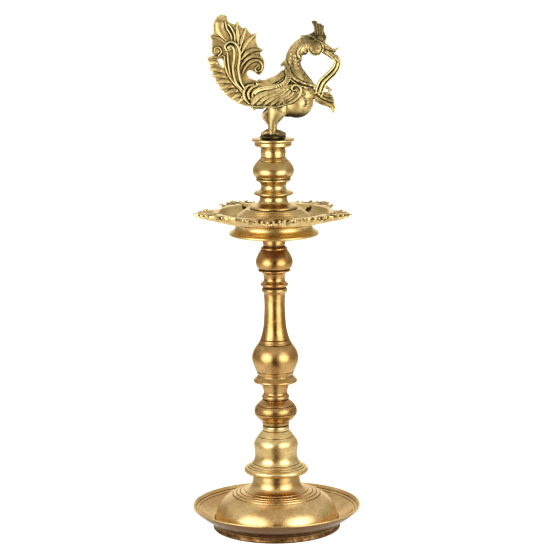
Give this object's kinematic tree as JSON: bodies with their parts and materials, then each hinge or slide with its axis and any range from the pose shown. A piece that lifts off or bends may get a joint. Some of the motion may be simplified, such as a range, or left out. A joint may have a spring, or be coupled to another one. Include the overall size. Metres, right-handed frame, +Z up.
{
  "type": "standing oil lamp",
  "caption": "Tall turned brass standing oil lamp: round drip tray foot, screwed stem sections, petalled oil dish and a peacock finial on top.",
  "frame": {"origin": "on the lamp's axis, in the plane the foot ring stands on", "axes": "+Z up the stem, +X the way the peacock faces, -Y the front petal of the dish"},
  "size_m": [0.2, 0.2, 0.6099],
  "materials": {
    "pale_brass": "worn satin with dark crevices and fine pits",
    "red_brass": "worn satin, redder alloy",
    "gold_brass": "antique satin with green-brown patina in the crevices",
    "rod_brass": "turned and threaded",
    "leather": "oil-darkened leather"
  },
  "bodies": {
    "base": {"base_tray_and_dome": "pale_brass"},
    "bell_washer": {"bell_joint_washer": "leather"},
    "bell": {"bell_section": "pale_brass", "bell_threaded_stud": "rod_brass"},
    "knop_washer": {"knop_joint_washer": "leather"},
    "knop": {"knop_section": "red_brass", "knop_threaded_stud": "rod_brass"},
    "column_washer": {"column_joint_washer": "leather"},
    "column": {"column_section": "red_brass", "column_threaded_stud": "rod_brass", "dish_seat_washer": "leather"},
    "dish": {"oil_dish_five_wick": "gold_brass"},
    "pillar_washer": {"dish_top_washer": "leather"},
    "pillar": {"upper_pillar": "gold_brass", "pillar_threaded_stud": "rod_brass"},
    "finial_seal": {"finial_washer": "leather"},
    "finial": {"peacock_finial": "gold_brass", "finial_threaded_stud": "rod_brass"}
  },
  "joints": [
    {"name": "bell_lift", "type": "slide", "parent": "base", "child": "bell_washer", "axis": [0, 0, 1], "range_m": [0, 0.012]},
    {"name": "bell_unscrew", "type": "hinge", "parent": "bell_washer", "child": "bell", "pos_m": [0, 0, 0.068], "axis": [0, 0, 1], "range_deg": [0, 1440]},
    {"name": "knop_lift", "type": "slide", "parent": "bell", "child": "knop_washer", "axis": [0, 0, 1], "range_m": [0, 0.012]},
    {"name": "knop_unscrew", "type": "hinge", "parent": "knop_washer", "child": "knop", "pos_m": [0, 0, 0.124], "axis": [0, 0, 1], "range_deg": [0, 1440]},
    {"name": "column_lift", "type": "slide", "parent": "knop", "child": "column_washer", "axis": [0, 0, 1], "range_m": [0, 0.012]},
    {"name": "column_unscrew", "type": "hinge", "parent": "column_washer", "child": "column", "pos_m": [0, 0, 0.1756], "axis": [0, 0, 1], "range_deg": [0, 1440]},
    {"name": "dish_turn", "type": "hinge", "parent": "column", "child": "dish", "pos_m": [0, 0, 0.3626], "axis": [0, 0, 1], "continuous": true},
    {"name": "pillar_lift", "type": "slide", "parent": "column", "child": "pillar_washer", "axis": [0, 0, 1], "range_m": [0, 0.01]},
    {"name": "pillar_unscrew", "type": "hinge", "parent": "pillar_washer", "child": "pillar", "pos_m": [0, 0, 0.361], "axis": [0, 0, 1], "range_deg": [0, 1440]},
    {"name": "finial_lift", "type": "slide", "parent": "pillar", "child": "finial_seal", "axis": [0, 0, 1], "range_m": [0, 0.008]},
    {"name": "finial_unscrew", "type": "hinge", "parent": "finial_seal", "child": "finial", "pos_m": [0, 0, 0.466], "axis": [0, 0, 1], "range_deg": [0, 1440]}
  ],
  "couplings": [
    {"joint": "bell_lift", "follows": "bell_unscrew", "m_per_rad": 0.00047746},
    {"joint": "knop_lift", "follows": "knop_unscrew", "m_per_rad": 0.00047746},
    {"joint": "column_lift", "follows": "column_unscrew", "m_per_rad": 0.00047746},
    {"joint": "pillar_lift", "follows": "pillar_unscrew", "m_per_rad": 0.00039789},
    {"joint": "finial_lift", "follows": "finial_unscrew", "m_per_rad": 0.00031831}
  ]
}
